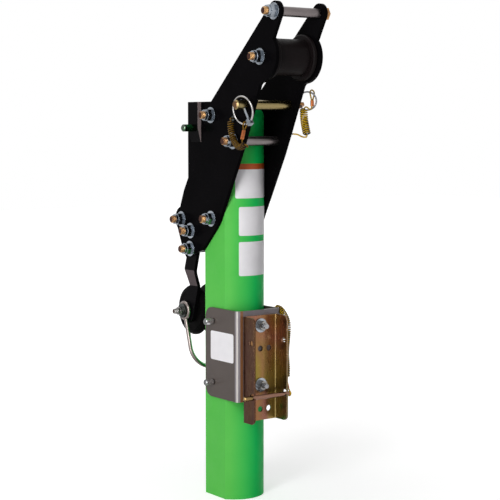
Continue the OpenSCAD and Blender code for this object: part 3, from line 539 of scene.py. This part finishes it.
def threaded_bolt(name, colours, axis, below, pitch, end_face_shade=None):
    """Zinc plated bolt with its threads as relief on its nut end; end_face_shade is painted shade on its end
    face, dark as a hollow end.
    """
    made = plated(name, colours, 0.24)
    # Painted shade: the end face, turned to -X, is dark as in a hollow end.
    if end_face_shade:
        cloud = cloudy(made, object_place(made), 60, 4)
        bright = ramp(made, cloud, [(0.35, colours[0]), (0.6, colours[1])])
        feed(made, "Base Color", blend_colour(made, facing(made, (-1, 0, 0), 0.9, 0.99), bright, end_face_shade))
    feed(made, "Normal", threads(made, axis, below, pitch, 0.35, round_edges(made, 0.3)))
    return made


def mast_paint():
    """Satin green paint, paler and yellower towards the mast's left side as a painted sheen from the light on
    that side.
    """
    made = surface("mast_green_paint", (0.04, 0.5, 0.06), 0.5, specular=0.14)
    place = object_place(made)
    # Painted sheen: paler and yellower on the mast's left side, where the light falls.
    across = spread(made, place_on(made, "X"), -0.036, 0.010, 0.0, 1.0)
    body = blend_colour(made, across, (0.108, 0.555, 0.084), (0.001, 0.60, 0.115))
    cloud = patches(made, place, 12, 5, 0.4, 0.7, 0.22)
    feed(made, "Base Color", blend_colour(made, cloud, body, (0.03, 0.40, 0.05)))
    grained(made, place, (60, 4), (0.4, 0.625), (900, 2), 0.05, round_edges(made, SOFT_EDGE))
    return made


def black_tab():
    """Black powder coat, with a painted highlight on the tab's front edge."""
    made = surface("tab_black_powder_coat", (0.0032, 0.0028, 0.0034), 0.26, specular=0.012)
    # Painted highlight: a pale colour on the tab's front edge, where Y is under 32.4 mm.
    colours = by_side(made, "Y", [32.4], [(0.24, 0.19, 0.19), (0.003, 0.0027, 0.0033)])
    feed(made, "Base Color", colours)
    grained(made, object_place(made), (60, 4), (0.208, 0.325), (900, 2), 0.05, round_edges(made, SOFT_EDGE))
    return made


def bail_steel():
    """Bare steel wire, with a painted pale green reflection of the mast on the side that the mast shows in.
    """
    made = bare_metal("bail_wire_steel", (0.13, 0.11, 0.10), 0.18, round_mm=0.1)
    cloud = patches(made, object_place(made), 25, 5, 0.35, 0.65, 1.0, 0.6)
    steel = blend_colour(made, cloud, (0.15, 0.125, 0.115), (0.26, 0.225, 0.21))
    # Painted reflection: the wire's side that the mast shows in turns pale green.
    inner = facing(made, (0.81, -0.588, 0), 0.2, 0.6)
    feed(made, "Base Color", blend_colour(made, inner, steel, (0.55, 0.80, 0.58)))
    return made


def grey_bracket():
    """Smooth grey coat, lighter in front from a painted sheen, with a painted highlight on its left bend and
    a warm strip beside it.
    """
    made = surface(
        "bracket_warm_grey_coat", (0.05, 0.04, 0.038), 0.34, coat=0.35, coat_rough=0.08, specular=0.1,
    )
    place = object_place(made)
    soft = round_edges(made, SOFT_EDGE)
    cloud = patches(made, place, 14, 5, 0.35, 0.65)
    # Painted sheen: the front face, ahead of Y -65 mm, gets these light tints and the sides a dark colour, as
    # light falls on them.
    tints = [(0.27, 0.245, 0.265), (0.30, 0.125, 0.045), (0.19, 0.165, 0.18)]
    front = by_side(made, "X", [-39.6, -34], tints)
    sides = by_side(made, "Y", [-65], [front, (0.060, 0.043, 0.036)])
    shade = blend_colour(made, maths(made, "MULTIPLY", cloud, 0.3), sides, (0.090, 0.068, 0.060))
    # Painted highlight: a pale line where the left bend faces the light.
    shade = blend_colour(made, facing(made, (-0.83, -0.56, 0), 0.972, 0.99), shade, (0.66, 0.62, 0.59))
    chips = patches(made, place, 160, 6, 0.55, 0.68, 0.5, 0.7)
    edge_wear_and_highlight = maths(made, "MULTIPLY", edge_share(made, soft), chips)
    feed(made, "Base Color", blend_colour(made, edge_wear_and_highlight, shade, (0.3, 0.27, 0.26)))
    grained(made, place, (60, 4), (0.28, 0.42), (900, 2), 0.03, soft)
    return made


def channel_colours(made, wide):
    """The channel's clouds of gold, olive and rose, panel by panel, with painted shade that makes the left
    flange far darker than the web; the right flange is darker low down.
    """
    rose = ramp(made, wide, [
        (0.36, (0.22, 0.12, 0.04)), (0.45, (0.23, 0.095, 0.06)),
        (0.52, (0.25, 0.125, 0.05)), (0.62, (0.23, 0.10, 0.07)),
    ])
    gold = ramp(made, wide, [
        (0.36, (0.17, 0.15, 0.025)), (0.45, (0.24, 0.165, 0.035)),
        (0.52, (0.25, 0.135, 0.055)), (0.62, (0.20, 0.165, 0.03)),
    ])
    shaded = ramp(made, wide, [
        (0.36, (0.27, 0.20, 0.055)), (0.45, (0.32, 0.175, 0.07)),
        (0.52, (0.32, 0.155, 0.095)), (0.62, (0.28, 0.20, 0.065)),
    ])
    # Painted shade: the left flange's colours are far darker than the web's.
    left = ramp(made, wide, [
        (0.35, (0.064, 0.022, 0.012)), (0.5, (0.048, 0.017, 0.012)), (0.65, (0.072, 0.032, 0.010)),
    ])
    right_high = ramp(made, wide, [
        (0.35, (0.19, 0.135, 0.065)), (0.5, (0.18, 0.105, 0.08)), (0.65, (0.20, 0.14, 0.065)),
    ])
    right_low = ramp(made, wide, [(0.4, (0.115, 0.10, 0.055)), (0.6, (0.125, 0.105, 0.05))])
    web = by_side(made, "Z", [200, 270], [rose, gold, rose], half=14)
    web = by_side(made, "X", [17], [web, shaded], half=5)
    right = by_side(made, "Z", [225], [right_low, right_high], half=30)
    return by_side(made, "X", [-32, 32], [left, web, right])


def zinc_channel():
    """Yellow zinc on sheet, with clouds that run down the sheet and a painted highlight on its edges."""
    made = surface("yellow_zinc_sheet", (0.4, 0.27, 0.1), 0.3, metal=1.0)
    place = object_place(made, (1, 1, 0.35))
    soft = round_edges(made, 0.5)
    colours = channel_colours(made, cloudy(made, place, 15, 2, 0.4))
    fine = patches(made, place, 220, 5, 0.35, 0.7, 0.12)
    body = blend_colour(made, fine, colours, (0.22, 0.15, 0.07))
    # Painted highlight: every edge is lighter and warmer.
    edge_wear_and_highlight = maths(made, "MULTIPLY", edge_share(made, soft), 0.6)
    feed(made, "Base Color", blend_colour(made, edge_wear_and_highlight, body, (0.5, 0.3, 0.18)))
    grained(made, place, (90, 4), (0.2, 0.36), (1300, 2), 0.03, soft)
    return made


def coated_cord(name, dull, fresh):
    """Coated cord in clouds of two tints, with painted shade between and inside its curls."""
    made = surface(name, fresh, 0.3, coat=0.06, coat_rough=0.15, specular=0.1)
    place = object_place(made)
    bright = blend_colour(made, patches(made, place, 260, 3, 0.35, 0.65), dull, fresh)
    outward = node(made, "ShaderNodeAttribute", attribute_name="outward").outputs["Fac"]
    # Painted shade: the cord turns dark where it faces into its curls.
    lit = spread(made, outward, 0.86, 0.985, 0.0, 1.0)
    feed(made, "Base Color", blend_colour(made, lit, (0.014, 0.007, 0.002), bright))
    grained(made, place, (500, 2), (0.24, 0.42), (1500, 2), 0.02)
    return made


def label_film(name, band=None, band_from=0):
    """Bare white film, a little greyer in clouds, with a plain band above a height."""
    bare = (0.92, 0.90, 0.93)
    made = surface(name, bare, 0.4, specular=0.25)
    place = object_place(made)
    body = blend_colour(made, patches(made, place, 35, 5, 0.35, 0.7), bare, tuple(c * 0.93 for c in bare))
    if band:
        above = maths(made, "GREATER_THAN", place_on(made, "Z"), band_from * MM)
        body = blend_colour(made, above, body, band)
    feed(made, "Base Color", body)
    grained(made, place, (120, 4), (0.28, 0.45), (700, 2), 0.015)
    return made


mast_green = mast_paint()
plug_black = moulded("plug_black_plastic", (0.010, 0.010, 0.011), (0.006, 0.006, 0.007), 0.5)
plate_black = painted(
    "plate_black_powder_coat", (0.0028, 0.0024, 0.003), (0.0018, 0.0016, 0.002), (0.03, 0.028, 0.03),
    rough=0.24, wear=0.3, specular=0.007,
)
# The arm's sloping face carries a painted sheen, lighter as where the light falls on it.
arm_black = painted(
    "arm_black_powder_coat", (0.0033, 0.0027, 0.0035), (0.0022, 0.0018, 0.0024), (0.05, 0.05, 0.05),
    rough=0.3, wear=0.25, specular=0.015, painted_sheen=((-0.963, 0, -0.268), (0.10, 0.079, 0.083)),
)
tab_black = black_tab()
roller_black = moulded(
    "roller_black_nylon", (0.0084, 0.0058, 0.0062), (0.005, 0.0034, 0.0036), 0.4, specular=0.05,
)
rear_roller_black = moulded(
    "rear_roller_black_nylon", (0.0032, 0.0028, 0.003), (0.002, 0.002, 0.002), 0.36, specular=0.012,
)
bush_pale = moulded("bush_pale_nylon", (0.62, 0.61, 0.57), (0.52, 0.51, 0.47), 0.5)
dull_zinc = plated("dull_zinc", [(0.10, 0.095, 0.09), (0.27, 0.26, 0.25), (0.16, 0.15, 0.14)], 0.22)
bright_zinc = plated("bright_zinc", [(0.10, 0.115, 0.13), (0.33, 0.36, 0.40), (0.16, 0.18, 0.20)], 0.2)
spacer_zinc = plated(
    "spacer_zinc", [(0.11, 0.095, 0.095), (0.19, 0.165, 0.165), (0.14, 0.12, 0.12)], 0.3, grain=(0.2, 1, 1),
)
dark_steel = plated("dark_oiled_steel", [(0.03, 0.035, 0.033), (0.08, 0.09, 0.085)], 0.3)
bright_wire = plated("bright_wire", [(0.22, 0.21, 0.205), (0.50, 0.49, 0.48)], 0.16, round_mm=0.1)
dull_wire = plated("dull_wire", [(0.12, 0.12, 0.13), (0.26, 0.26, 0.27)], 0.3, round_mm=0.1)
crimp_copper = plated("crimp_copper", [(0.14, 0.035, 0.014), (0.50, 0.16, 0.055), (0.18, 0.05, 0.02)], 0.2)
bail_wire = bail_steel()
pin_zinc = pin_with_ends(
    "yellow_zinc_pin", (0.27, 0.21, 0.095), [(0.13, 0.06, 0.03), (0.34, 0.15, 0.05)], [-69.5, 52],
)
winch_pin_zinc = pin_with_ends(
    "warm_zinc_pin", (0.26, 0.14, 0.10), [(0.25, 0.165, 0.065), (0.22, 0.13, 0.075)], [-36, 40],
)
# Painted reflection: the stud's body is green, as the mast mirrored in it.
stud_steel_green_reflection = pin_with_ends(
    "dark_stud_steel_green_reflection", (0.03, 0.30, 0.075), [(0.085, 0.075, 0.078), (0.02, 0.02, 0.02)], [-73, -61],
)
# The caps' ends beside the bracket are dark, a painted shadow where they meet it.
cap_zinc = pin_with_ends(
    "bright_cap_zinc", (0.95, 0.96, 0.97), [(0.04, 0.045, 0.045), (0.05, 0.05, 0.055)],
    [-BRACKET_OUT - 15.6, -BRACKET_OUT - 2],
)
plate_bolt_zinc = threaded_bolt(
    "plate_bolt_yellow_zinc", [(0.16, 0.07, 0.035), (0.50, 0.29, 0.12)], "X", -50.2, 1.95,
    end_face_shade=(0.055, 0.02, 0.013),
)
side_bolt_zinc = threaded_bolt(
    "side_bolt_zinc", [(0.22, 0.21, 0.20), (0.52, 0.51, 0.49)], "X", -40, 1.6, end_face_shade=(0.05, 0.03, 0.025),
)
channel_bolt_zinc = threaded_bolt(
    "channel_bolt_zinc", [(0.16, 0.16, 0.165), (0.34, 0.34, 0.36), (0.24, 0.235, 0.235)], "Y", -76, 1.4,
)
bracket_grey = grey_bracket()
channel_zinc = zinc_channel()
cord_yellow = coated_cord("yellow_coated_cord", (0.60, 0.34, 0.006), (0.90, 0.55, 0.010))
# A darker copy of the yellow cord, as painted shade, for the left lanyard.
cord_yellow_shaded = coated_cord("shaded_yellow_coated_cord", (0.13, 0.064, 0.004), (0.31, 0.16, 0.008))
band_film = label_film("label_orange_and_white_film", (0.52, 0.095, 0.016), MAST_H - 106.5)
white_film = label_film("label_white_film")


def dress(made, *names):
    """Gives nodes or pieces their one material."""
    for name in names:
        piece = cad[name] if name in cad else bpy.data.objects[name]
        piece.data.materials.clear()
        piece.data.materials.append(made)


dress(mast_green, "mast_tube")
dress(plug_black, "mast_top_plug")
dress(plate_black, "side_plate_left", "side_plate_right")
dress(tab_black, "rear_tab")
dress(arm_black, "rear_arm_left", "rear_arm_right")
dress(bright_zinc, "plate_washers", "plate_nuts", "bracket_washers", "channel_washers",
      "roller_axle_sleeve", "rear_axle_sleeve", "linch_pin")
dress(dull_zinc, "channel_nuts", "rear_axle_collars", "rear_axle_nut")
dress(dark_steel, "rear_axle_washers", "rear_guide_spacers", "anchor_left", "anchor_right", "anchor_winch")
dress(spacer_zinc, "top_tie_spacer", "lower_tie_spacer")
dress(stud_steel_green_reflection, "tab_stud")
dress(plate_bolt_zinc, "plate_bolts", "roller_axle_bolt")
dress(side_bolt_zinc, "bracket_bolts", "rear_axle_bolt")
dress(cap_zinc, "bracket_nuts")
dress(channel_bolt_zinc, "channel_bolts")
dress(pin_zinc, "lock_pin")
dress(winch_pin_zinc, "winch_pin")
dress(bright_wire, "linch_ring")
dress(bail_wire, "wire_bail")
dress(dull_wire, "pull_ring")
dress(roller_black, "head_roller")
dress(rear_roller_black, "rear_roller")
dress(bush_pale, "roller_bush_left", "roller_bush_right", "rear_roller_bushes")
dress(bracket_grey, "clamp_bracket")
dress(channel_zinc, "winch_channel")
dress(crimp_copper, "crimp_left", "crimp_right", "crimp_winch")
dress(cord_yellow, "curly_lanyard_right", "curly_lanyard_winch")
dress(cord_yellow_shaded, "curly_lanyard_left")


# Labels: bare films with rounded corners
FILM_T = 0.4
FILM_COLUMNS = 64
CORNER_STEPS = 8


def column_places(width, corner):
    """Places across a film, close together over its corners and even between them."""
    between = FILM_COLUMNS - 2 * CORNER_STEPS
    ends = [corner * (1 - math.cos(math.pi / 2 * i / CORNER_STEPS)) for i in range(CORNER_STEPS + 1)]
    inner = [corner + (width - 2 * corner) * i / between for i in range(1, between)]
    return ends + inner + [width - e for e in ends[::-1]]


def film_plate(name, node_name, width, height, corner, lay):
    """A film of that size with rounded corners, laid by a function of its two lengths."""
    deselect()
    bpy.ops.mesh.primitive_grid_add(x_subdivisions=FILM_COLUMNS, y_subdivisions=1, size=1, location=(0, 0, 0))
    piece = bpy.context.object
    piece.name = name
    across = column_places(width, corner)
    for vert in piece.data.vertices:
        x = across[round((vert.co.x + 0.5) * FILM_COLUMNS)]
        near = min(x, width - x, corner)
        drop = corner - math.sqrt(max(corner ** 2 - (corner - near) ** 2, 0))
        vert.co = lay(x, drop if vert.co.y < 0 else height - drop) * MM
    bpy.ops.object.modifier_add(type="SOLIDIFY")
    piece.modifiers[0].thickness = FILM_T * MM
    piece.modifiers[0].offset = 0
    bpy.ops.object.modifier_apply(modifier=piece.modifiers[0].name)
    bpy.ops.object.mode_set(mode="EDIT")
    bpy.ops.mesh.select_all(action="SELECT")
    bpy.ops.mesh.normals_make_consistent(inside=False)
    bpy.ops.object.mode_set(mode="OBJECT")
    bpy.ops.object.shade_smooth_by_angle(angle=math.radians(30))
    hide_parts(node_name)
    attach(piece, "base")


def on_mast(left_degrees, low):
    """Lays a film on the mast, from an angle off straight ahead and from a height."""
    def lay(x, y):
        turn = math.radians(left_degrees) + x / FILM_R
        return Vector((FILM_R * math.sin(turn), -FILM_R * math.cos(turn), low + y))
    return lay


FILM_R = MAST_R + 0.1 + FILM_T / 2
FILM_RIGHT = 50
BRACKET_FILM_X = -BRACKET_OUT - FILM_T / 2
for name, node_name, left, low, high in (
    ("film_band", "label_band", -34, MAST_H - 155.5, MAST_H - 97),
    ("film_upper", "label_upper", -27, MAST_H - 219, MAST_H - 170),
    ("film_lower", "label_lower", -27, MAST_H - 287.5, MAST_H - 229.5),
):
    film_plate(name, node_name, FILM_R * math.radians(FILM_RIGHT - left), high - low, 3, on_mast(left, low))
film_plate("film_bracket", "label_bracket", 67.3, 49.5, 3.6,
           lambda x, y: at(BRACKET_FILM_X, -6.5 + x, 240.5 + y))
dress(band_film, "film_band")
dress(white_film, "film_upper", "film_lower", "film_bracket")


# Floor, world and lamps
def pale_floor():
    """A pale floor that runs out into the white background."""
    deselect()
    bpy.ops.mesh.primitive_plane_add(size=16, location=(0, 0, -0.0004))
    floor = bpy.context.object
    floor.name = "floor"
    made = surface("floor_pale", (0.80, 0.80, 0.80), 0.8)
    place = object_place(made)
    feed(made, "Roughness", spread(made, cloudy(made, place, 3, 3), 0.3, 0.7, 0.7, 0.9))
    far = node(made, "ShaderNodeVectorMath", operation="LENGTH")
    put(made, place, far.inputs[0])
    lift = spread(made, far.outputs["Value"], 0.2, 1.6, 0.56, 1.0)
    ray = node(made, "ShaderNodeLightPath")
    seen = maths(made, "MAXIMUM", ray.outputs["Is Camera Ray"], ray.outputs["Is Glossy Ray"])
    glow = node(made, "ShaderNodeEmission")
    put(made, maths(made, "MULTIPLY", seen, lift), glow.inputs["Strength"])
    glow.inputs["Color"].default_value = (1, 1, 1, 1)
    add = node(made, "ShaderNodeAddShader")
    put(made, shader_of(made).outputs[0], add.inputs[0])
    put(made, glow.outputs[0], add.inputs[1])
    put(made, add.outputs[0], made.node_tree.nodes["Material Output"].inputs["Surface"])
    floor.data.materials.append(made)


def studio_world():
    """White where it is seen or mirrored, and a soft grey for the light that it gives."""
    world = bpy.data.worlds.new("studio")
    bpy.context.scene.world = world
    world.use_nodes = True
    tree = world.node_tree
    soft = tree.nodes["Background"]
    soft.inputs["Color"].default_value = (1, 1, 1, 1)
    soft.inputs["Strength"].default_value = 0.17
    white = tree.nodes.new("ShaderNodeBackground")
    white.inputs["Color"].default_value = (1, 1, 1, 1)
    white.inputs["Strength"].default_value = 1.0
    ray = tree.nodes.new("ShaderNodeLightPath")
    share = ray.outputs["Is Camera Ray"]
    for other in ("Is Glossy Ray", "Is Transmission Ray"):
        seen = tree.nodes.new("ShaderNodeMath")
        seen.operation = "MAXIMUM"
        tree.links.new(share, seen.inputs[0])
        tree.links.new(ray.outputs[other], seen.inputs[1])
        share = seen.outputs[0]
    mix = tree.nodes.new("ShaderNodeMixShader")
    tree.links.new(share, mix.inputs["Fac"])
    tree.links.new(soft.outputs[0], mix.inputs[1])
    tree.links.new(white.outputs[0], mix.inputs[2])
    tree.links.new(mix.outputs[0], tree.nodes["World Output"].inputs["Surface"])


def softbox(name, place, aim, size, power):
    """A flat rectangular lamp, unseen itself, turned towards a point."""
    deselect()
    bpy.ops.object.light_add(type="AREA", location=place)
    lamp = bpy.context.object
    lamp.name = name
    lamp.data.shape = "RECTANGLE"
    lamp.data.size, lamp.data.size_y = size
    lamp.data.energy = power
    lamp.visible_camera = False
    lamp.rotation_euler = (Vector(aim) - Vector(place)).to_track_quat("-Z", "Y").to_euler()


pale_floor()
studio_world()
softbox("key_strip", (-1.45, -0.85, 0.83), (0, 0, 0.83), (0.32, 1.6), 15)
softbox("key_wide", (-2.3, -1.4, 1.6), (0, 0, 0.45), (1.5, 1.5), 19)
softbox("front_fill", (0.9, -2.7, 1.3), (0, 0, 0.4), (1.2, 1.4), 2)
softbox("top_soft", (-0.3, 0.5, 2.4), (0, 0, 0.5), (1.6, 1.6), 8)
